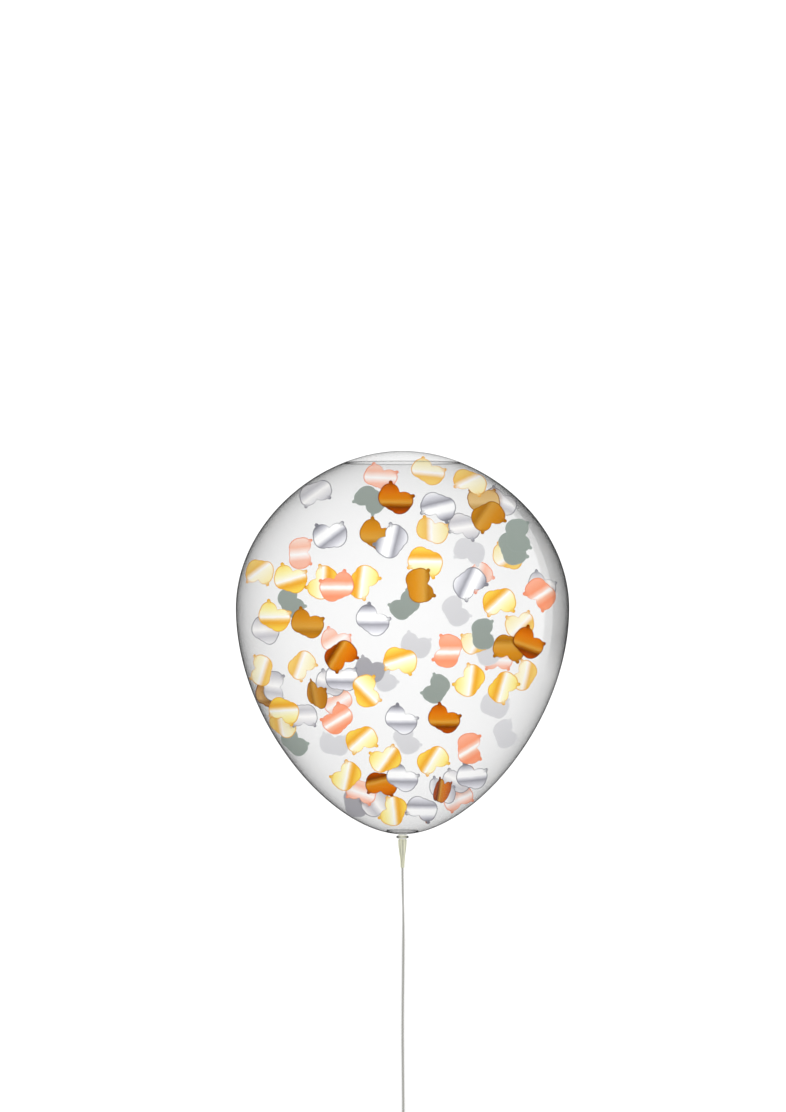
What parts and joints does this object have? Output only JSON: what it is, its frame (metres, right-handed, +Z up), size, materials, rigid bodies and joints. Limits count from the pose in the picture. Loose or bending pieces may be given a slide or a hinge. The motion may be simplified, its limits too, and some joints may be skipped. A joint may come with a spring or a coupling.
{
  "type": "confetti balloon",
  "caption": "Clear round latex balloon with loose foil confetti inside, its neck tied with a thin string, lying on its side.",
  "frame": {"origin": "on the surface the balloon lies on, under the middle of the balloon's length", "axes": "+Z up; +Y along the balloon's axis, from the neck towards the crown; +X to the right when looking along +Y"},
  "size_m": [0.2996, 0.6607, 0.2973],
  "materials": {
    "clear_latex": "clear, thin, glossy latex film",
    "string_cotton": "grey twisted cotton string",
    "tie_paper": "off-white paper twist tie",
    "foil_gold": "mirror gold foil with a paler back",
    "foil_copper": "mirror copper foil with a grey-green back",
    "foil_silver": "mirror silver foil with a grey-green back",
    "foil_rose": "satin rose foil with a paler back"
  },
  "bodies": {
    "root": {"balloon": "clear_latex", "string_knot": "string_cotton", "string": "string_cotton", "string_coil": "string_cotton", "coil_tie": "tie_paper"}
  },
  "joints": []
}
